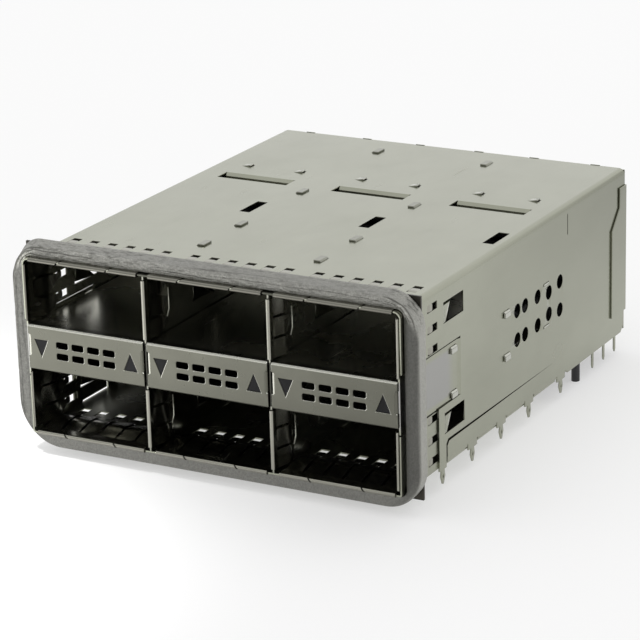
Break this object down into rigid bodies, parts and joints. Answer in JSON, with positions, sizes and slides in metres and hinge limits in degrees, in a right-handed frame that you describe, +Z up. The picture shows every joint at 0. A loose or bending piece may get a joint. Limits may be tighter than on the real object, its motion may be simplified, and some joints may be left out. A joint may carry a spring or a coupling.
{
  "type": "transceiver cage",
  "caption": "Stacked sheet-metal cage for pluggable network transceivers, with a grid of open ports, contact springs, light pipes, press-fit pins and a soft front gasket.",
  "frame": {"origin": "middle of the middle connector's seat on the circuit board", "axes": "+X to the right seen from the front, +Y from the ports to the rear, +Z up from the board"},
  "size_m": [0.065, 0.0771, 0.032],
  "materials": {
    "sheet_metal": "satin nickel-plated sheet",
    "spring_metal": "bright nickel-plated spring sheet",
    "plate_metal": "dull plated sheet",
    "gasket_fabric": "conductive cloth over foam",
    "connector_plastic": "moulded black",
    "contact_metal": "plated tails",
    "light_pipe": "smoky clear plastic"
  },
  "bodies": {
    "root": {"bottom_plate": "sheet_metal", "cage_shell": "sheet_metal", "connector_1": "connector_plastic", "connector_2": "connector_plastic", "connector_3": "connector_plastic", "contacts_1": "contact_metal", "contacts_2": "contact_metal", "contacts_3": "contact_metal", "divider_1": "sheet_metal", "divider_2": "sheet_metal", "gasket": "gasket_fabric", "gasket_plate": "plate_metal", "light_pipe_1_down": "light_pipe", "light_pipe_1_up": "light_pipe", "light_pipe_2_down": "light_pipe", "light_pipe_2_up": "light_pipe", "light_pipe_3_down": "light_pipe", "light_pipe_3_up": "light_pipe", "rear_cover": "sheet_metal", "separator_1": "sheet_metal", "separator_2": "sheet_metal", "separator_3": "sheet_metal", "spring_bottom_1": "spring_metal", "spring_bottom_2": "spring_metal", "spring_bottom_3": "spring_metal", "spring_divider_1_lower": "spring_metal", "spring_divider_1_upper": "spring_metal", "spring_divider_2_lower": "spring_metal", "spring_divider_2_upper": "spring_metal", "spring_left_lower": "spring_metal", "spring_left_upper": "spring_metal", "spring_right_lower": "spring_metal", "spring_right_upper": "spring_metal", "spring_top_1": "spring_metal", "spring_top_2": "spring_metal", "spring_top_3": "spring_metal"}
  },
  "joints": []
}
